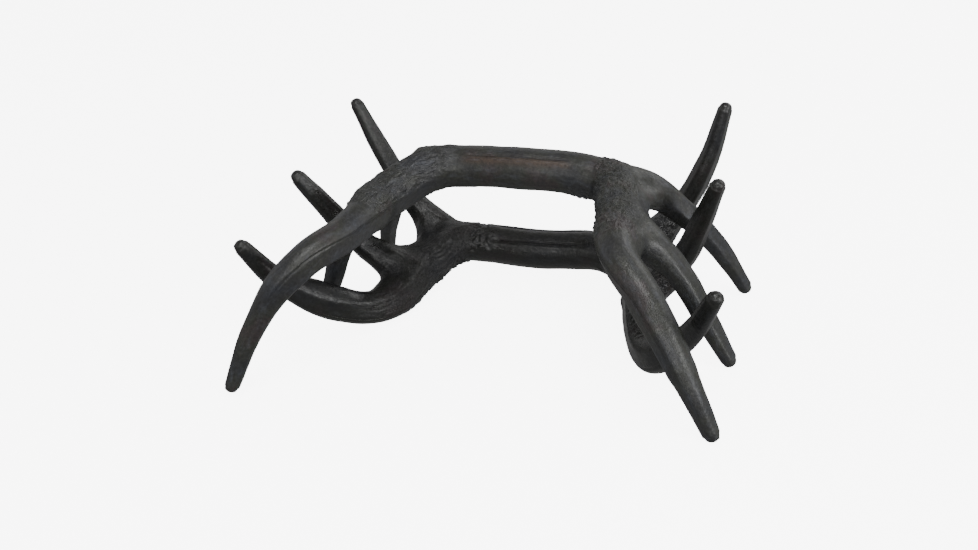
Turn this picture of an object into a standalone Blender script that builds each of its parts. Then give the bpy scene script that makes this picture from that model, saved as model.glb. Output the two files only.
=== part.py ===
"""A pair of moulded rattling antlers, nested together for carrying.

Both antlers come from one mould: a straight grip with a three-pointed antler at each end,
a main beam and two tines. The lower antler lies on its main beams with its points up.
The upper one is turned over and stands astride it on its six tips.

The frame is +Z up and +X along the grips. Its origin is on the floor under the middle of
the pair, and the main beams run towards -Y. Sizes are in millimetres until they reach a mesh.
"""
import math

import bmesh
import bpy
from mathutils import Euler, Vector

MM = 0.001

# Grip: its points from the right end to the left, sagging a little in the middle
GRIP = [(42, 0, 0.3), (0, 0, -0.7), (-42, 0, 1.3)]
GRIP_RADIUS = 13.6

# Each end of the moulding: the points of its beam, tines and webs, from root to tip. X runs
# out from the middle of the grip and Z is the way the tines point. As on a real antler the
# two ends are not quite mirror images.
RIGHT_END = {
    "beam": [
        (56, -5, 1), (79, -32, 9), (87, -75, 14),
        (104, -114, 22), (129, -127, 52), (152, -140, 100),
    ],
    "brow_tine": [(63, -2, 1), (79, 4, 13), (96, 14, 28), (114, 26, 57), (128, 41, 97)],
    "back_tine": [(84, -49, 11), (97, -46, 22), (109, -43, 35), (123, -43, 64), (137, -42, 99)],
    "palm_web": [(88, 6, 19), (84, -18, 13), (92, -40, 18)],
    "back_web": [(98, -48, 22), (92, -60, 19), (95, -78, 19)],
}
LEFT_END = {
    "beam": [
        (58, -4, 4), (73, -34, 8), (84, -79, 13),
        (106, -101, 28), (129, -117, 60), (148, -123, 99),
    ],
    "brow_tine": [(62, -2, 4), (80, 7, 11), (98, 14, 27), (118, 28, 57), (136, 40, 95)],
    "back_tine": [(80, -45, 10), (94, -46, 22), (110, -47, 37), (128, -48, 69), (143, -49, 97)],
    "palm_web": [(87, 5, 14), (80, -19, 11), (90, -40, 19)],
    "back_web": [(96, -48, 22), (89, -58, 16), (89, -76, 16)],
}
BEAM_RADII = (13.7, 14.4, 11.4, 10.2, 7.8, 4.9)
TINE_RADII = (12.8, 11.2, 8.5, 7.2, 4.9)
WEB_RADII = (7.0, 8.0, 7.0)

# How finely a rod is drawn, and how near its end caps lie to the rim they are welded to
ROUND_STEPS = 4
LENGTH_STEPS = 10
WELD = 0.01

# Surface of the moulding
VOXEL = 2.0
BLEND_FACTOR = 0.5
BLEND_PASSES = 12
TRIANGLE_SHARE = 0.14

# How the two antlers lie together: where each grip's middle is, and its turns in degrees.
# The upper one is turned over, and so faces the other way round.
LOWER_PLACE = (-1.6, 82.8, 16.95)
LOWER_PITCH = 13.0
UPPER_PLACE = (6.6, 36.6, 98.2)
UPPER_PITCH = 180 + 1.3
UPPER_ROLL = -0.45
UPPER_YAW = 178.3

BLACK = (0.018, 0.018, 0.018, 1.0)
ROUGHNESS = 0.42


def clear_scene():
    for thing in list(bpy.data.objects):
        bpy.data.objects.remove(thing, do_unlink=True)


def collection(name):
    group = bpy.data.collections.new(name)
    bpy.context.scene.collection.children.link(group)
    return group


def polymer(name):
    material = bpy.data.materials.new(name)
    material.use_nodes = True
    shader = material.node_tree.nodes["Principled BSDF"]
    shader.inputs["Base Color"].default_value = BLACK
    shader.inputs["Roughness"].default_value = ROUGHNESS
    shader.inputs["Metallic"].default_value = 0.0
    return material


def mirrored(points, side):
    return [(side * x, y, z) for x, y, z in points]


def tapered_rod(name, points, radii, group):
    """A round rod through the points, its radius set at each of them."""
    curve = bpy.data.curves.new(name, "CURVE")
    curve.dimensions = "3D"
    curve.bevel_depth = MM
    curve.bevel_resolution = ROUND_STEPS
    curve.resolution_u = LENGTH_STEPS
    curve.use_fill_caps = True
    spline = curve.splines.new("BEZIER")
    spline.bezier_points.add(len(points) - 1)
    for knot, place, radius in zip(spline.bezier_points, points, radii):
        knot.co = Vector(place) * MM
        knot.radius = radius
        knot.handle_left_type = "AUTO"
        knot.handle_right_type = "AUTO"
    rod = bpy.data.objects.new(name, curve)
    group.objects.link(rod)
    return rod


def as_mesh(rod):
    """The closed mesh of a rod, its end caps welded on."""
    evaluated = rod.evaluated_get(bpy.context.evaluated_depsgraph_get())
    mesh = bpy.data.meshes.new_from_object(evaluated)
    bpy.data.objects.remove(rod, do_unlink=True)
    shell = bmesh.new()
    shell.from_mesh(mesh)
    bmesh.ops.remove_doubles(shell, verts=shell.verts, dist=WELD * MM)
    bmesh.ops.recalc_face_normals(shell, faces=shell.faces)
    shell.to_mesh(mesh)
    shell.free()
    return mesh


def rods(group):
    """The grip with both beams in one rod, and one rod for each tine and web."""
    right = RIGHT_END["beam"]
    left = mirrored(LEFT_END["beam"], -1)
    spine = list(reversed(right)) + GRIP + left
    radii = tuple(reversed(BEAM_RADII)) + (GRIP_RADIUS,) * len(GRIP) + BEAM_RADII
    made = [tapered_rod("spine", spine, radii, group)]
    for side, end in ((1, RIGHT_END), (-1, LEFT_END)):
        for tine in ("brow_tine", "back_tine"):
            made.append(tapered_rod(tine, mirrored(end[tine], side), TINE_RADII, group))
        for web in ("palm_web", "back_web"):
            made.append(tapered_rod(web, mirrored(end[web], side), WEB_RADII, group))
    return made


def moulding_mesh(group):
    """All the rods as one mesh; the remesh on each antler fuses them."""
    bpy.context.view_layer.update()
    joined = bmesh.new()
    made = rods(group)
    bpy.context.view_layer.update()
    for rod in made:
        joined.from_mesh(as_mesh(rod))
    mesh = bpy.data.meshes.new("antler_moulding")
    joined.to_mesh(mesh)
    joined.free()
    mesh.shade_smooth()
    return mesh


def antler(name, mesh, group):
    thing = bpy.data.objects.new(name, mesh)
    group.objects.link(thing)
    fuse = thing.modifiers.new("fuse", "REMESH")
    fuse.mode = "VOXEL"
    fuse.voxel_size = VOXEL * MM
    blend = thing.modifiers.new("blend", "SMOOTH")
    blend.factor = BLEND_FACTOR
    blend.iterations = BLEND_PASSES
    thin = thing.modifiers.new("thin", "DECIMATE")
    thin.ratio = TRIANGLE_SHARE
    return thing


def place(thing, where, turn):
    angles = [math.radians(angle) for angle in turn]
    thing.location = Vector(where) * MM
    thing.rotation_euler = Euler(angles, "XYZ")


def main():
    clear_scene()
    group = collection("rattling_antlers")
    mesh = moulding_mesh(group)
    mesh.materials.append(polymer("black_polymer"))
    lower = antler("lower_antler", mesh, group)
    place(lower, LOWER_PLACE, (LOWER_PITCH, 0.0, 0.0))
    upper = antler("upper_antler", mesh, group)
    place(upper, UPPER_PLACE, (UPPER_PITCH, UPPER_ROLL, UPPER_YAW))
    bpy.context.view_layer.update()


main()
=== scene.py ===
"""The looks of a pair of black moulded rattling antlers, nested one over the other.

Both antlers come from one mould, so one fine mesh of the moulding is made and set down twice,
where part.py has them. The moulding is described by rods through the same points as in
part.py, with the flats, domed points, grooves, wrinkles and burr that the real one has.

The antlers' lengths are in millimetres and become metres as they reach a mesh. Everything
else is in metres. In the moulding's own frame X runs along the grip from its middle, the main
beams run towards -Y, and the tines point to +Z.
"""
import math

import bmesh
import bpy
import numpy as np
from mathutils import Euler, Matrix, Vector


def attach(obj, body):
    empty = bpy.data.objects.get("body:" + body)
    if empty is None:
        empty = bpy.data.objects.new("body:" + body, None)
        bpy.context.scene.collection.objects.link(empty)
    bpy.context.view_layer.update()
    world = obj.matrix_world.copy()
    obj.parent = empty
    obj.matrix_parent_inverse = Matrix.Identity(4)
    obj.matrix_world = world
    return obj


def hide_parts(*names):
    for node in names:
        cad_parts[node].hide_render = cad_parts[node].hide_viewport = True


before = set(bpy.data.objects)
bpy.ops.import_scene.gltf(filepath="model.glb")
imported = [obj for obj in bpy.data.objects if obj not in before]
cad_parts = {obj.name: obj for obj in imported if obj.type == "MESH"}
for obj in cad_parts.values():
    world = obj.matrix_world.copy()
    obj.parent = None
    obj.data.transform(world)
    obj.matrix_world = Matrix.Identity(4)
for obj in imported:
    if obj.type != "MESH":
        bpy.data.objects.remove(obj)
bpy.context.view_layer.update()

MM = 0.001
SEED = 7

# ---------------------------------------------------------------- sizes of the moulding

# The points of the grip, and of the beam, tines and webs of each end from root to tip, as
# part.py has them. An end's X runs outwards.
GRIP = [(42, 0, 0.3), (0, 0, -0.7), (-42, 0, 1.3)]
RIGHT_END = {
    "beam": [
        (56, -5, 1), (79, -32, 9), (87, -75, 14),
        (104, -114, 22), (129, -127, 52), (152, -140, 100),
    ],
    "brow_tine": [(63, -2, 1), (79, 4, 13), (96, 14, 28), (114, 26, 57), (128, 41, 97)],
    "back_tine": [(84, -49, 11), (97, -46, 22), (109, -43, 35), (123, -43, 64), (137, -42, 99)],
    "palm_web": [(88, 6, 19), (84, -18, 13), (92, -40, 18)],
    "back_web": [(98, -48, 22), (92, -60, 19), (95, -78, 19)],
}
LEFT_END = {
    "beam": [
        (58, -4, 4), (73, -34, 8), (84, -79, 13),
        (106, -101, 28), (129, -117, 60), (148, -123, 99),
    ],
    "brow_tine": [(62, -2, 4), (80, 7, 11), (98, 14, 27), (118, 28, 57), (136, 40, 95)],
    "back_tine": [(80, -45, 10), (94, -46, 22), (110, -47, 37), (128, -48, 69), (143, -49, 97)],
    "palm_web": [(87, 5, 14), (80, -19, 11), (90, -40, 19)],
    "back_web": [(96, -48, 22), (89, -58, 16), (89, -76, 16)],
}
# A swelling inside the bend of the left beam, too fine for part.py's mesh
LEFT_BEND = [(98, -90, 22), (105, -97.6, 31), (117, -105.6, 45), (128, -116, 60)]

# The radii at those points. Near the grip they are up to half a millimetre less than in
# part.py, whose coarser mesh shrinks there as it is smoothed.
GRIP_RADIUS = 13.4
BEAM_RADII = (13.4, 14.0, 11.4, 10.2, 7.8, 4.9)
TINE_RADII = (12.5, 11.0, 8.4, 7.2, 4.9)
WEB_RADII = (6.6, 7.6, 6.6)
LEFT_BEND_RADII = (4.5, 7.8, 7.3, 5.6)

# Flats along the rods: which way each looks at the rod's points, and how much of the radius
# it leaves there. More than 1 is no flat. Beams have one on the inner front and one outside
# their upright part; tines have one outside and a shallower one inside.
NO_FLAT = 1.1
BEAM_INNER = [
    (-0.5, -0.75, 0.6), (-0.93, -0.2, 0.45), (-0.88, -0.35, 0.27),
    (-0.75, -0.57, 0.09), (-0.6, -0.8, 0), (-0.5, -0.9, 0),
]
BEAM_INNER_KEEP = (0.96, 0.86, 0.82, 0.83, 0.87, 0.9)
BEAM_OUTER = [(0.92, -0.38, 0)] * len(BEAM_RADII)
BEAM_OUTER_KEEP_RIGHT = (NO_FLAT, NO_FLAT, NO_FLAT, 1.05, 0.86, 0.84)
BEAM_OUTER_KEEP_LEFT = (NO_FLAT, NO_FLAT, NO_FLAT, NO_FLAT, 0.96, 0.93)
TINE_OUTER = [(0.95, -0.3, 0)] * len(TINE_RADII)
TINE_OUTER_KEEP = (NO_FLAT, 1.0, 0.86, 0.83, 0.84)
TINE_INNER = [(-0.9, -0.45, 0)] * len(TINE_RADII)
TINE_INNER_KEEP = (NO_FLAT, 1.0, 0.9, 0.86, 0.9)

BLEND = 6.0  # how far the fillets reach where rods meet
CREASE = 0.5  # how far the edge of a flat is rounded
DOME = 0.87  # where a dome's middle is, in radii back from the rod's end
TIP_FLAT = 0.93  # where the small flat on a dome is, in radii out from its middle
TIP_EDGE = 0.8  # how far the edge of that flat is rounded
TIP_STEP = 0.4  # how far a dome steps in from its rod
TIP_STEP_RUN = 0.5  # how far that step reaches to each side of the dome's middle
SQUEEZE = 0.001  # how much is left of the line past there, so that no two points coincide

# How the two antlers lie together, as in part.py: where each grip's middle is, and its turn
LOWER_PLACE = (-1.6, 82.8, 16.95)
LOWER_TURN = (13.0, 0.0, 0.0)
UPPER_PLACE = (6.6, 36.6, 98.2)
UPPER_TURN = (181.3, -0.45, 178.3)
FLOOR_GAP = 0.1  # how near the floor the skin comes where the pair rests on it
FLOOR_EASE = 1.0  # how far above that the skin starts to give way to the floor

# ---------------------------------------------------------------- how finely it is made

LINE_STEPS = 24  # steps between two points of a rod, to measure from
ROUGH_STEPS = 10  # the same for the first rough skin
ROUND_STEPS = 4
WELD = 0.01
VOXEL = 0.75
SMOOTH_FACTOR = 0.5
SMOOTH_PASSES = 14
FIT_PASSES = 4  # how often the mesh is pulled onto the true skin
FIT_REACH = 2.0  # how far a point moves at most each time
RELAX = 0.35  # how much the points are evened out after each pull

# ---------------------------------------------------------------- sizes of the relief

# Wrinkles follow the rods. For each kind: its size around and along a rod, its layers of
# detail, and a shift that gives each rod its own pattern.
WRINKLES = {
    "long": (1.7, 11.0, 2, 31),
    "short": (2.4, 2.9, 2, 53),
    "fine": (1.5, 2.6, 1, 71),
}
ROD_FADE = 1.5  # how fast a rod's wrinkles give way to the next rod's
ASKEW = (0.3, 0.2, 1.0)  # a direction that no rod takes, to count the way around from
WANDER = 1.6  # how far the wrinkles stray sideways, over WANDER_SIZE
WANDER_SIZE = 7.0
LUMP_SIZE = 5.0
SWELL_SIZE = 14.0

# How far each texture stands out in each zone
RELIEF = {
    "everywhere": {"swell": 0.3, "long": 0.05, "fine": 0.05},
    "pearl": {"short_creased": 0.7, "fine": 0.1, "lumps": 0.25, "raised": 0.2},
    "bark": {"long_creased": 0.6, "fine": 0.15, "lumps": 0.3, "raised": 0.6},
    "rough": {"short_creased": 0.5, "long": 0.2, "lumps": 0.3},
    "furrow": {"long": 0.22, "short": 0.1, "lumps": 0.1},
    "knuckles": {"short_creased": 0.5, "lumps": 0.4},
}
# How strongly each zone's fine hairs show in the materials
HAIRY = {"pearl": 1.0, "bark": 1.4, "rough": 1.0, "furrow": 0.4}

GROOVE_ANGLE = 60  # where the grip's grooves run: degrees up or down from its front and back
GROOVE_DEPTH = 1.25
GROOVE_WIDTH = 0.9
LIP_HEIGHT = 0.4
LIP_WIDTH = 2.0
LIP_ASIDE = 3.0
COLLAR_HEIGHT = 0.25
BEAM_GROOVE_DEPTH = 0.8
BEAM_GROOVE_WIDTH = 0.75
BEAM_GROOVE_ASIDE = 0.6  # how far outside the flat's edge it runs
# Where the brown streak with a painted highlight lies beside the grip's lower grooves, and how wide
# it is
WARM_HIGHLIGHT_ASIDE = 3.5
WARM_HIGHLIGHT_WIDTH = 2.6

# ---------------------------------------------------------------- colours, lights, camera

# Each antler's polymer: how dark it is, its roughness from its glossiest spots to its dullest,
# and how much painted sheen lies on it in pale streaks. Both antlers are the same polymer: the
# lower one is painted darker, as painted shade for the shade the upper antler throws on it, and
# the upper one carries more painted sheen.
SHADED_LOWER_POLYMER = {"dark": 0.008, "gloss": (0.24, 0.46), "painted_sheen": 0.15}
LIT_UPPER_POLYMER = {"dark": 0.018, "gloss": (0.31, 0.54), "painted_sheen": 0.4}
# The mottling: at each level of a cloud, red, green and blue in shares of the dark
MOTTLING = (
    (0.30, (0.86, 0.96, 1.18)),
    (0.43, (0.98, 1.00, 1.02)),
    (0.55, (1.12, 1.18, 0.94)),
    (0.64, (1.40, 1.10, 1.06)),
    (0.74, (1.02, 1.00, 1.02)),
)
# A brown tone with a painted highlight, lighter than the polymer, for the lip beside the grip's lower
# grooves
WARM_HIGHLIGHT = (2.3, 1.5, 1.0)
# The colour of the painted sheen, laid on in pale streaks
SHEEN_COLOUR = (0.055, 0.060, 0.075)

# Area lights: where each is, how wide and high, and its power in watts
LIGHTS = (
    ("key", (0.22, -0.4, 1.25), (0.5, 0.5), 8),
    ("rim", (0.8, 1.0, 0.8), (1.0, 0.5), 4),
    ("front", (0.3, -1.5, 0.6), (1.2, 0.5), 8),
    ("side", (1.5, -0.5, 0.45), (0.5, 0.8), 13),
)
LIGHTS_AIM = (0, 0, 0.05)
# How bright the room is at each height, from straight down (-1) to straight up (1)
ROOM = ((-0.5, 0.32), (0.1, 0.38), (0.4, 1.05), (0.62, 0.3), (1.0, 0.3))
# The way to a white card, low on the right, which the outer flats of the points reflect;
# how nearly a direction points to it where its glow begins and is full; and how much
# brighter it is than the room
CARD = (0.67, 0.49, -0.55)
CARD_EDGE = (0.86, 0.97)
CARD_GLOW = 2.0
FLOOR_SIZE = 60
FLOOR_PAINT = (0.93, 0.93, 0.93, 1)
FLOOR_ROUGHNESS = 0.8
FLOOR_GLOW = 7.0
WHITE = (1, 1, 1, 1)

CAMERA_PLACE = (0.2479, -0.6116, 0.3990)
CAMERA_FORWARD = (-0.3406, 0.8112, -0.4753)
CAMERA_UP = (-0.0678, 0.483, 0.873)
CLIP_START = 0.01
# The lens and the sensor, in millimetres
LENS = 43.583
SENSOR_WIDTH = 36.0


# ---------------------------------------------------------------- small maths


def mirrored(points, side):
    return [(side * x, y, z) for x, y, z in points]


def unit(v):
    return v / np.maximum(np.linalg.norm(v, axis=-1, keepdims=True), 1e-9)


def smooth_max(a, b, k):
    h = np.maximum(k - np.abs(a - b), 0) / k
    return np.maximum(a, b) + h * h * k / 4


def smooth_min(a, b, k):
    return -smooth_max(-a, -b, k)


def rise(x, low, high):
    """From 0 at low to 1 at high, easing in and out."""
    t = np.clip((x - low) / (high - low), 0, 1)
    return t * t * (3 - 2 * t)


def fall(x, low, high):
    return 1 - rise(x, low, high)


def bell(x, width):
    return np.exp(-((x / width) ** 2))


class Noise:
    """Value noise on a lattice, from -1 to 1 and the same on each run."""

    SIZE = 4096  # a power of two
    HASH = (73856093, 19349663, 83492791)

    def __init__(self, seed):
        self.table = np.random.default_rng(seed).random(self.SIZE)

    def __call__(self, p):
        cell = np.floor(p).astype(np.int64)
        f = p - cell
        f = f * f * (3 - 2 * f)
        total = np.zeros(len(p))
        for corner in range(8):
            step = np.array([corner & 1, corner >> 1 & 1, corner >> 2 & 1])
            mixed = (cell + step) * self.HASH
            key = (mixed[:, 0] ^ mixed[:, 1] ^ mixed[:, 2]) & (self.SIZE - 1)
            share = np.where(step, f, 1 - f).prod(1)
            total += share * self.table[key]
        return total * 2 - 1

    def layers(self, p, count):
        """The noise with finer and weaker noise on top, in as many layers as asked."""
        return sum(self(p * 2.1**i + 17.3 * i) * 0.5**i for i in range(count))


# ---------------------------------------------------------------- meshes and arrays


def curve_object(name, points, radii, bevel, steps):
    curve = bpy.data.curves.new(name, "CURVE")
    curve.dimensions = "3D"
    curve.bevel_depth = bevel
    curve.bevel_resolution = ROUND_STEPS
    curve.resolution_u = steps
    curve.use_fill_caps = bevel > 0
    spline = curve.splines.new("BEZIER")
    spline.bezier_points.add(len(points) - 1)
    for knot, place, radius in zip(spline.bezier_points, points, radii):
        knot.co = Vector(place) * MM
        knot.radius = radius
        knot.handle_left_type = "AUTO"
        knot.handle_right_type = "AUTO"
    return linked(name, curve)


def linked(name, data):
    thing = bpy.data.objects.new(name, data)
    bpy.context.scene.collection.objects.link(thing)
    return thing


def mesh_of(thing):
    """The evaluated mesh of an object, which is then removed."""
    bpy.context.view_layer.update()
    evaluated = thing.evaluated_get(bpy.context.evaluated_depsgraph_get())
    mesh = bpy.data.meshes.new_from_object(evaluated)
    bpy.data.objects.remove(thing, do_unlink=True)
    return mesh


def read_array(items, name, width, kind=np.float32):
    flat = np.zeros(len(items) * width, kind)
    items.foreach_get(name, flat)
    return flat.reshape(-1, width)


def coordinates(mesh):
    return read_array(mesh.vertices, "co", 3).astype(float) / MM


def vertex_normals(mesh):
    return read_array(mesh.vertex_normals, "vector", 3).astype(float)


def edge_ends(mesh):
    return read_array(mesh.edges, "vertices", 2, np.int32)


def write_coordinates(mesh, p):
    mesh.vertices.foreach_set("co", (p * MM).astype(np.float32).ravel())
    mesh.update()


def write_field(mesh, name, values):
    """Stores a number or a vector at each vertex, for the materials to read."""
    kind, slot = ("FLOAT_VECTOR", "vector") if values.ndim == 2 else ("FLOAT", "value")
    layer = mesh.attributes.new(name, kind, "POINT")
    layer.data.foreach_set(slot, values.astype(np.float32).ravel())


# ---------------------------------------------------------------- rods


class Rod:
    """A tapered rod along a smooth line, with flats along it and domed points."""

    def __init__(self, name, points, radii, flats=(), domes=(False, False)):
        self.name = name
        self.points = points
        self.radii = radii
        self.line = coordinates(mesh_of(curve_object(name, points, radii, 0.0, LINE_STEPS)))
        steps = np.linspace(0, len(points) - 1, len(self.line))
        self.radius = np.interp(steps, np.arange(len(points)), radii)
        self.tangent = unit(np.gradient(self.line, axis=0))
        lengths = np.linalg.norm(np.diff(self.line, axis=0), axis=1)
        self.run = np.concatenate([[0], np.cumsum(lengths)])
        self.flats = [self.along(steps, faces, keep) for faces, keep in flats]
        self.domed_ends = [end for end, domed in zip((0, -1), domes) if domed]
        for end in self.domed_ends:
            self.pull_back(end)

    def along(self, steps, faces, keep):
        """A flat's direction, square to the line, and what it keeps of the radius at each point."""
        knots = np.arange(len(faces))
        faces = np.array(faces, float)
        aim = np.stack([np.interp(steps, knots, faces[:, i]) for i in range(3)], 1)
        aim = aim - (aim * self.tangent).sum(1, keepdims=True) * self.tangent
        return unit(aim), np.interp(steps, knots, keep)

    def pull_back(self, end):
        """Gathers the points near an end where the dome's middle is, so that the dome ends there."""
        inward = 1 if end == 0 else -1
        limit = self.run[end] + inward * DOME * self.radius[end]
        beyond = self.run < limit if end == 0 else self.run > limit
        middle = np.array([np.interp(limit, self.run, self.line[:, i]) for i in range(3)])
        spare = (self.run[beyond] - limit)[:, None]
        self.line[beyond] = middle + SQUEEZE * spare * self.tangent[end]

    def sample(self, p):
        """For each point, the nearest place on the rod: the gap to its round skin, the offset
        from its line, and its radius, run and step there."""
        far = (p * p).sum(1)[:, None] + (self.line * self.line).sum(1)[None] - 2 * p @ self.line.T
        near = far.argmin(1)
        before, after = self.nearest_on(p, near - 1), self.nearest_on(p, near)
        closer = after["gap"] < before["gap"]
        for key, value in after.items():
            pick = closer[:, None] if value.ndim == 2 else closer
            before[key] = np.where(pick, value, before[key])
        return before

    def nearest_on(self, p, step):
        """The same for one given step of the line."""
        step = np.clip(step, 0, len(self.line) - 2)
        start = self.line[step]
        ahead = self.line[step + 1] - start
        t = ((p - start) * ahead).sum(1) / np.maximum((ahead * ahead).sum(1), 1e-12)
        t = np.clip(t, 0, 1)
        off = p - start - t[:, None] * ahead
        radius = self.radius[step] + t * (self.radius[step + 1] - self.radius[step])
        run = self.run[step] + t * (self.run[step + 1] - self.run[step])
        gap = np.linalg.norm(off, axis=1) - radius
        return {"gap": gap, "off": off, "radius": radius, "run": run, "step": step}

    def distance(self, p):
        """Distance out from the rod's skin, flats and domes included."""
        s = self.sample(p)
        d = s["gap"]
        for face, keep in self.flats:
            reach = (s["off"] * face[s["step"]]).sum(1)
            d = smooth_max(d, reach - keep[s["step"]] * s["radius"], CREASE)
        for end in self.domed_ends:
            outward = -self.tangent[end] if end == 0 else self.tangent[end]
            ahead = (p - self.line[end]) @ outward
            d = d + TIP_STEP * rise(ahead, -TIP_STEP_RUN, TIP_STEP_RUN)
            d = smooth_max(d, ahead - TIP_FLAT * self.radius[end], TIP_EDGE)
        return d

    def unrolled(self, p):
        """The nearest place on the rod, and where each point is around it, in two numbers."""
        s = self.sample(p)
        tangent = self.tangent[s["step"]]
        across = unit(np.cross(tangent, ASKEW))
        up = np.cross(tangent, across)
        around = unit(s["off"])
        ring = np.stack([(around * across).sum(1), (around * up).sum(1)], 1)
        return s, ring * s["radius"][:, None]


def spine():
    """The grip with both beams: from the right tip, through the grip, to the left tip."""
    points = list(reversed(RIGHT_END["beam"])) + GRIP + mirrored(LEFT_END["beam"], -1)
    radii = tuple(reversed(BEAM_RADII)) + (GRIP_RADIUS,) * len(GRIP) + BEAM_RADII
    cuts = (
        (BEAM_INNER, BEAM_INNER_KEEP, BEAM_INNER_KEEP),
        (BEAM_OUTER, BEAM_OUTER_KEEP_RIGHT, BEAM_OUTER_KEEP_LEFT),
    )
    flats = []
    for faces, keep_right, keep_left in cuts:
        both_faces = list(reversed(faces)) + [(0, -1, 0)] * len(GRIP) + mirrored(faces, -1)
        both_keep = tuple(reversed(keep_right)) + (NO_FLAT,) * len(GRIP) + keep_left
        flats.append((both_faces, both_keep))
    return Rod("spine", points, radii, flats, (True, True))


def tine(name, points, side):
    flats = [
        (mirrored(TINE_OUTER, side), TINE_OUTER_KEEP),
        (mirrored(TINE_INNER, side), TINE_INNER_KEEP),
    ]
    return Rod(name, mirrored(points, side), TINE_RADII, flats, (False, True))


def all_rods():
    rods = [spine()]
    for side, end in ((1, RIGHT_END), (-1, LEFT_END)):
        rods.append(tine("brow_tine", end["brow_tine"], side))
        rods.append(tine("back_tine", end["back_tine"], side))
        rods.append(Rod("palm_web", mirrored(end["palm_web"], side), WEB_RADII))
        rods.append(Rod("back_web", mirrored(end["back_web"], side), WEB_RADII))
    rods.append(Rod("bend_web", mirrored(LEFT_BEND, -1), LEFT_BEND_RADII))
    return rods


# ---------------------------------------------------------------- the moulding


def solid_rod(rod):
    """A closed round mesh of one rod, without its flats and domes."""
    shell = bmesh.new()
    shell.from_mesh(mesh_of(curve_object(rod.name, rod.points, rod.radii, MM, ROUGH_STEPS)))
    bmesh.ops.remove_doubles(shell, verts=shell.verts, dist=WELD * MM)
    bmesh.ops.recalc_face_normals(shell, faces=shell.faces)
    mesh = bpy.data.meshes.new(rod.name)
    shell.to_mesh(mesh)
    shell.free()
    return mesh


def rough_mesh(rods):
    """All the rods fused by a voxel remesh: a first skin to be pulled onto the real one."""
    shells = bmesh.new()
    for rod in rods:
        solid = solid_rod(rod)
        shells.from_mesh(solid)
        bpy.data.meshes.remove(solid)
    mesh = bpy.data.meshes.new("fused")
    shells.to_mesh(mesh)
    shells.free()
    thing = linked("fused", mesh)
    fuse = thing.modifiers.new("fuse", "REMESH")
    fuse.mode = "VOXEL"
    fuse.voxel_size = VOXEL * MM
    blend = thing.modifiers.new("blend", "SMOOTH")
    blend.factor = SMOOTH_FACTOR
    blend.iterations = SMOOTH_PASSES
    return mesh_of(thing)


def skin(p, rods):
    """Distance out from the smooth skin of the whole moulding."""
    d = rods[0].distance(p)
    for rod in rods[1:]:
        d = smooth_min(d, rod.distance(p), BLEND)
    return d


def relaxed(p, edges):
    """Each point moved part of the way to the middle of its neighbours."""
    here = np.concatenate([edges[:, 0], edges[:, 1]])
    there = np.concatenate([edges[:, 1], edges[:, 0]])
    count = np.bincount(here, minlength=len(p))
    total = np.stack([np.bincount(here, p[there, i], len(p)) for i in range(3)], 1)
    return p + RELAX * (total / count[:, None] - p)


def moulding():
    rods = all_rods()
    mesh = rough_mesh(rods)
    p = coordinates(mesh)
    edges = edge_ends(mesh)
    for _ in range(FIT_PASSES):
        pull = np.clip(skin(p, rods), -FIT_REACH, FIT_REACH)
        p = relaxed(p - pull[:, None] * vertex_normals(mesh), edges)
        write_coordinates(mesh, p)
    n = vertex_normals(mesh)
    zone = zones(p, n)
    texture, grain = textures(p, rods)
    push = relief(zone, texture) + grip_grooves(p) + collar(p) - beam_groove(p, n, rods[0])
    write_coordinates(mesh, p + push[:, None] * n)
    hairs = sum(amount * zone[name] for name, amount in HAIRY.items())
    write_field(mesh, "grain", grain)
    write_field(mesh, "wrinkle", np.clip(hairs, 0, 1))
    # The brown streak with a painted highlight beside the grip's lower grooves
    write_field(mesh, "warm_highlight", warm_highlight_streak(p))
    mesh.shade_smooth()
    return mesh


# ---------------------------------------------------------------- relief


def zones(p, n):
    """How much of each kind of relief a place has, from 0 to 1.

    The two ends differ, and so do the faces that look down (-Z) and up (+Z) in the mould:
    pearls and bark below, roughness, furrows and knuckles above. Each pair of numbers is where
    a zone's edge begins and ends, in mm, or between which slopes of the skin it lies.
    """
    out, front, height = np.abs(p[:, 0]), -p[:, 1], p[:, 2]
    right = rise(p[:, 0], -5, 5)
    left = 1 - right
    up = rise(n[:, 2], -0.35, 0.15)
    down = 1 - up
    low = fall(height, 24, 38)
    pearl_edge = fall(out, 82, 94) * fall(out - 0.5 * front, 62, 78)
    rough_edge = low * rise(n[:, 0], -0.7, -0.25)
    return {
        "everywhere": np.ones(len(p)),
        "pearl": left * down * rise(out, 51, 54) * fall(front, 62, 84) * pearl_edge,
        "bark": right * down * rise(out, 38, 52) * fall(front, 59, 64) * fall(out, 90, 100),
        "rough": right * up * rise(out, 44, 56) * fall(front, 100, 130) * rough_edge,
        "furrow": left * up * rise(out, 36, 46) * fall(front, 80, 118) * low,
        "knuckles": left * rise(out, 32, 36) * fall(out, 50, 58) * rise(n[:, 2], 0, 0.4),
    }


def creased(wrinkle):
    """Rounded lumps with sharp creases between them, out of a smooth noise."""
    return np.abs(wrinkle) * 2.2 - 0.55


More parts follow.
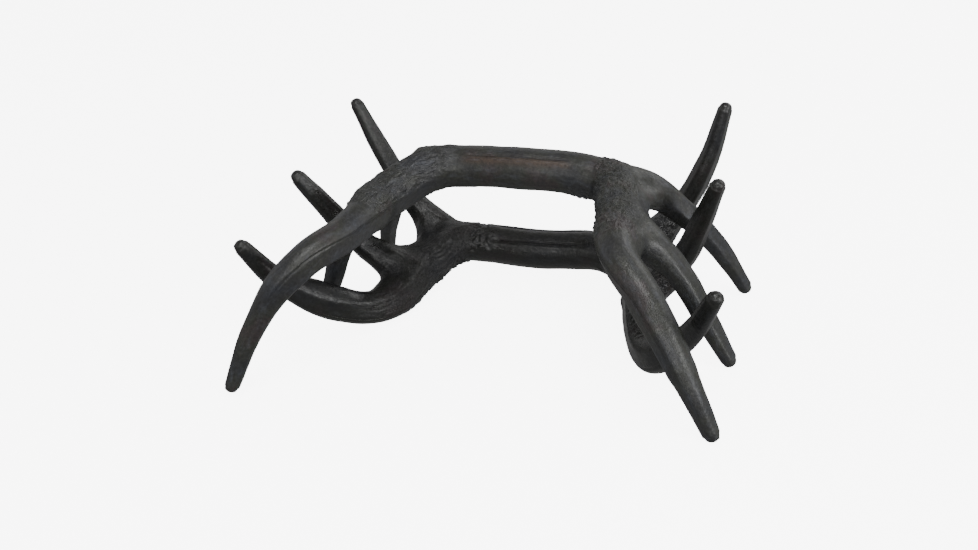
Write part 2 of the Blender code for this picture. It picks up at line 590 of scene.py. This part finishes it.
def textures(p, rods):
    """Each texture at each point, and where the point is around and along its rods."""
    noise = Noise(SEED)
    wander = np.stack([noise(p / WANDER_SIZE + 5), noise(p / WANDER_SIZE + 9)], 1) * WANDER
    weight = np.full(len(p), 1e-6)
    total = {kind: np.zeros(len(p)) for kind in WRINKLES}
    grain = np.zeros((len(p), 3))
    for index, rod in enumerate(rods):
        if "web" in rod.name:
            continue
        s, ring = rod.unrolled(p)
        share = np.exp(-np.maximum(s["gap"], 0) / ROD_FADE)
        ring = ring + wander
        run = s["run"][:, None]
        for kind, (around, along, layers, shift) in WRINKLES.items():
            place = np.concatenate([ring / around, run / along], 1) + shift * index
            total[kind] += share * noise.layers(place, layers)
        grain += share[:, None] * np.concatenate([ring, run], 1)
        weight += share
    texture = {kind: values / weight for kind, values in total.items()}
    texture["long_creased"] = creased(texture["long"])
    texture["short_creased"] = creased(texture["short"])
    texture["lumps"] = noise(p / LUMP_SIZE + 3)
    texture["swell"] = noise(p / SWELL_SIZE + 40)
    texture["raised"] = np.ones(len(p))
    return texture, grain / weight[:, None]


def relief(zone, texture):
    """How far the real skin stands out from the smooth one, apart from its grooves."""
    push = 0
    for name, amounts in RELIEF.items():
        push = push + zone[name] * sum(amount * texture[kind] for kind, amount in amounts.items())
    return push


def groove_offset(p):
    """How far each point is around the grip from the middle of its groove."""
    angle = np.arctan2(np.abs(p[:, 2]), np.abs(p[:, 1]))
    return (angle - math.radians(GROOVE_ANGLE)) * GRIP_RADIUS


def grip_grooves(p):
    """A groove with a low lip along each side of the grip's front and back, above and below."""
    aside = groove_offset(p)
    shape = LIP_HEIGHT * bell(aside + LIP_ASIDE, LIP_WIDTH) - GROOVE_DEPTH * bell(aside, GROOVE_WIDTH)
    return fall(np.abs(p[:, 0]), 26, 36) * shape


def collar(p):
    """A low step near each end of the grip's upper side, where it meets the burr."""
    out = np.abs(p[:, 0])
    return COLLAR_HEIGHT * rise(out, 28.8, 31) * fall(out, 32, 46) * rise(p[:, 2], 1, 6)


def beam_groove(p, n, rod):
    """A groove along the edge of each beam's inner flat, on the side that looks down."""
    s = rod.sample(p)
    face, keep = (values[s["step"]] for values in rod.flats[0])
    across = np.cross(rod.tangent[s["step"]], face)
    across = across * np.sign(-across[:, 2:3])
    angle = np.arctan2((s["off"] * across).sum(1), (s["off"] * face).sum(1))
    flat_edge = np.arccos(np.clip(keep, 0, 1))
    aside = (angle - flat_edge) * s["radius"] + BEAM_GROOVE_ASIDE
    to_tip = np.minimum(s["run"], rod.run[-1] - s["run"])
    there = np.exp(-np.maximum(s["gap"], 0)) * fall(n[:, 2], 0.1, 0.5)
    there = there * rise(to_tip, 40, 80) * fall(to_tip, 190, 212)
    return BEAM_GROOVE_DEPTH * there * bell(aside, BEAM_GROOVE_WIDTH)


def warm_highlight_streak(p):
    """Beside the grooves under the grip the colour is browner and lighter: a brown tone with a
    painted highlight along the lip there.
    """
    streak = bell(groove_offset(p) + WARM_HIGHLIGHT_ASIDE, WARM_HIGHLIGHT_WIDTH)
    return fall(np.abs(p[:, 0]), 30, 40) * streak * rise(-p[:, 2], 0, 2)


# ---------------------------------------------------------------- materials


class Nodes:
    """Short calls for building one material's node tree."""

    def __init__(self, material):
        material.use_nodes = True
        self.nodes = material.node_tree.nodes
        self.links = material.node_tree.links
        self.shader = self.nodes["Principled BSDF"]
        self.place = self.nodes.new("ShaderNodeTexCoord").outputs["Object"]

    def drive(self, name, value):
        """Sets the shader's input to a node's output."""
        self.links.new(value, self.shader.inputs[name])

    def field(self, name, socket="Fac"):
        node = self.nodes.new("ShaderNodeAttribute")
        node.attribute_name = name
        return node.outputs[socket]

    def math(self, kind, a, b):
        node = self.nodes.new("ShaderNodeMath")
        node.operation = kind
        for socket, value in zip(node.inputs, (a, b)):
            if isinstance(value, float):
                socket.default_value = value
            else:
                self.links.new(value, socket)
        return node.outputs["Value"]

    def stretched(self, source, scale):
        node = self.nodes.new("ShaderNodeMapping")
        node.vector_type = "POINT"
        node.inputs["Scale"].default_value = scale
        self.links.new(source, node.inputs["Vector"])
        return node.outputs["Vector"]

    def cloud(self, scale, detail, rough, source=None):
        node = self.nodes.new("ShaderNodeTexNoise")
        node.inputs["Scale"].default_value = scale
        node.inputs["Detail"].default_value = detail
        node.inputs["Roughness"].default_value = rough
        self.links.new(source or self.place, node.inputs["Vector"])
        return node.outputs["Fac"]

    def spread(self, source, low_high, to_low_high):
        node = self.nodes.new("ShaderNodeMapRange")
        names = ("From Min", "From Max", "To Min", "To Max")
        for name, value in zip(names, low_high + to_low_high):
            node.inputs[name].default_value = value
        self.links.new(source, node.inputs["Value"])
        return node.outputs["Result"]

    def ramp(self, source, stops):
        node = self.nodes.new("ShaderNodeValToRGB")
        self.links.new(source, node.inputs["Fac"])
        set_stops(node.color_ramp, stops)
        return node.outputs["Color"]

    def mix(self, amount, a, colour):
        node = self.nodes.new("ShaderNodeMix")
        node.data_type = "RGBA"
        self.links.new(amount, node.inputs["Factor"])
        self.links.new(a, node.inputs["A"])
        node.inputs["B"].default_value = (*colour, 1)
        return node.outputs["Result"]

    def scaled(self, colour, amount):
        node = self.nodes.new("ShaderNodeVectorMath")
        node.operation = "SCALE"
        self.links.new(colour, node.inputs[0])
        self.links.new(amount, node.inputs["Scale"])
        return node.outputs["Vector"]

    def bump(self, height, strength, distance, before=None):
        node = self.nodes.new("ShaderNodeBump")
        node.inputs["Distance"].default_value = distance
        if isinstance(strength, float):
            node.inputs["Strength"].default_value = strength
        else:
            self.links.new(strength, node.inputs["Strength"])
        self.links.new(height, node.inputs["Height"])
        if before:
            self.links.new(before, node.inputs["Normal"])
        return node.outputs["Normal"]


def set_stops(ramp, stops):
    while len(ramp.elements) < len(stops):
        ramp.elements.new(0.5)
    for element, (where, colour) in zip(ramp.elements, stops):
        element.position = where
        element.color = (*colour, 1)


def polymer(name, dark, gloss, painted_sheen):
    """Dense black moulded polymer: mottled black-brown, satin, with a fine grain."""
    material = bpy.data.materials.new(name)
    tree = Nodes(material)
    grain = tree.field("grain", "Vector")
    streaks = tree.cloud(1.0, detail=5, rough=0.7, source=tree.stretched(grain, (0.32, 0.32, 0.07)))
    tree.drive("Base Color", mottled(tree, dark, painted_sheen, streaks))
    tree.drive("Roughness", satin(tree, gloss, streaks))
    tree.drive("Normal", fine_grain(tree, grain))
    tree.shader.inputs["Specular IOR Level"].default_value = 0.5
    return material


def mottled(tree, dark, painted_sheen, streaks):
    """The colour: soft mottling, browner by the grooves with a painted highlight there, a painted
    sheen in pale streaks, and fine speckle.
    """
    stops = [(where, [dark * share for share in shares]) for where, shares in MOTTLING]
    tint = tree.ramp(tree.cloud(34, detail=5, rough=0.6), stops)
    # Browner and lighter beside the grip's lower grooves: a brown tone with a painted highlight on
    # the lip
    tint = tree.mix(tree.field("warm_highlight"), tint, [dark * share for share in WARM_HIGHLIGHT])
    # A painted sheen: pale bluish streaks mixed into the colour, more on the upper antler
    sheen_cover = tree.math("MULTIPLY", tree.spread(streaks, (0.5, 0.72), (0.0, 1.0)), painted_sheen)
    tint = tree.mix(sheen_cover, tint, SHEEN_COLOUR)
    speckle = tree.cloud(500, detail=3, rough=0.7)
    return tree.scaled(tint, tree.spread(speckle, (0.35, 0.68), (0.72, 1.45)))


def satin(tree, gloss, streaks):
    """The roughness: half of it follows the streaks and half a finer mottling."""
    mottle = tree.cloud(170, detail=6, rough=0.75)
    halves = [tree.math("MULTIPLY", part, 0.5) for part in (streaks, mottle)]
    return tree.spread(tree.math("ADD", *halves), (0.36, 0.64), gloss)


def fine_grain(tree, grain):
    """The normal: hairs along the rods, strongest where it is wrinkled, and a fine grain."""
    hairs = tree.cloud(1.0, detail=3, rough=0.6, source=tree.stretched(grain, (0.8, 0.8, 0.13)))
    amount = tree.spread(tree.field("wrinkle"), (0.0, 1.0), (0.08, 0.9))
    normal = tree.bump(hairs, amount, distance=0.0012)
    return tree.bump(tree.cloud(420, detail=4, rough=0.65), 0.45, distance=0.0007, before=normal)


# ---------------------------------------------------------------- the pair


def antler(name, skin_mesh, where, turn, material):
    """One antler: its own copy of the moulding's mesh, laid down in place."""
    mesh = skin_mesh.copy()
    mesh.name = name
    turned = Euler([math.radians(angle) for angle in turn], "XYZ").to_matrix().to_4x4()
    mesh.transform(Matrix.Translation(Vector(where) * MM) @ turned)
    p = coordinates(mesh)
    p[:, 2] = smooth_max(p[:, 2], FLOOR_GAP, FLOOR_EASE)
    write_coordinates(mesh, p)
    mesh.materials.append(material)
    return linked(name, mesh)


def pair():
    skin_mesh = moulding()
    # The lower antler's copy is darker: painted shade, for the shade of the upper antler over it
    lower_polymer = polymer("lower_polymer", **SHADED_LOWER_POLYMER)
    lower = antler("lower_antler_skin", skin_mesh, LOWER_PLACE, LOWER_TURN, lower_polymer)
    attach(lower, "lower_antler")
    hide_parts("lower_antler")
    # The upper antler's copy is the lighter one, with more painted sheen
    upper_polymer = polymer("upper_polymer", **LIT_UPPER_POLYMER)
    upper = antler("upper_antler_skin", skin_mesh, UPPER_PLACE, UPPER_TURN, upper_polymer)
    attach(upper, "upper_antler")
    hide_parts("upper_antler")
    bpy.data.meshes.remove(skin_mesh)


# ---------------------------------------------------------------- the studio


def floor():
    """A plain pale floor, which throws no light or reflection of its own on the antlers."""
    bpy.ops.mesh.primitive_plane_add(size=FLOOR_SIZE)
    ground = bpy.context.object
    ground.name = "floor"
    material = bpy.data.materials.new("floor_paint")
    material.use_nodes = True
    shader = material.node_tree.nodes["Principled BSDF"]
    shader.inputs["Base Color"].default_value = FLOOR_PAINT
    shader.inputs["Roughness"].default_value = FLOOR_ROUGHNESS
    shader.inputs["Emission Color"].default_value = WHITE
    shader.inputs["Emission Strength"].default_value = FLOOR_GLOW
    ground.data.materials.append(material)
    ground.visible_diffuse = False
    ground.visible_glossy = False


def area_light(name, where, size, power):
    light = bpy.data.lights.new(name, "AREA")
    light.shape = "RECTANGLE"
    light.size, light.size_y = size
    light.energy = power
    thing = linked(name, light)
    thing.location = where
    aim = Vector(LIGHTS_AIM) - Vector(where)
    thing.rotation_euler = aim.to_track_quat("-Z", "Y").to_euler()


def room_glow(nodes, links, direction):
    """A white room, brightest a little above the horizon and darker straight up."""
    split = nodes.new("ShaderNodeSeparateXYZ")
    links.new(direction, split.inputs["Vector"])
    height = nodes.new("ShaderNodeMapRange")
    height.inputs["From Min"].default_value = -1.0
    links.new(split.outputs["Z"], height.inputs["Value"])
    ramp = nodes.new("ShaderNodeValToRGB")
    set_stops(ramp.color_ramp, [((up + 1) / 2, (light,) * 3) for up, light in ROOM])
    links.new(height.outputs["Result"], ramp.inputs["Fac"])
    return ramp.outputs["Color"]


def card_glow(nodes, links, direction):
    """How many times brighter than the room a direction is: more than once near the card."""
    facing = nodes.new("ShaderNodeVectorMath")
    facing.operation = "DOT_PRODUCT"
    facing.inputs[1].default_value = CARD
    links.new(direction, facing.inputs[0])
    card = nodes.new("ShaderNodeMapRange")
    names = ("From Min", "From Max", "To Min", "To Max")
    for name, value in zip(names, (*CARD_EDGE, 1.0, CARD_GLOW)):
        card.inputs[name].default_value = value
    links.new(facing.outputs["Value"], card.inputs["Value"])
    return card.outputs["Result"]


def studio():
    for light in LIGHTS:
        area_light(*light)
    sky = bpy.data.worlds.new("studio")
    sky.use_nodes = True
    nodes, links = sky.node_tree.nodes, sky.node_tree.links
    direction = nodes.new("ShaderNodeTexCoord").outputs["Generated"]
    background = nodes["Background"]
    links.new(room_glow(nodes, links, direction), background.inputs["Color"])
    links.new(card_glow(nodes, links, direction), background.inputs["Strength"])
    bpy.context.scene.world = sky


def camera():
    data = bpy.data.cameras.new("camera")
    data.sensor_width = SENSOR_WIDTH
    data.lens = LENS
    data.clip_start = CLIP_START
    forward = Vector(CAMERA_FORWARD).normalized()
    right = forward.cross(Vector(CAMERA_UP)).normalized()
    up = right.cross(forward)
    turn = Matrix((right, up, -forward)).transposed().to_4x4()
    thing = linked("camera", data)
    thing.matrix_world = Matrix.Translation(CAMERA_PLACE) @ turn
    bpy.context.scene.camera = thing


pair()
floor()
studio()
camera()
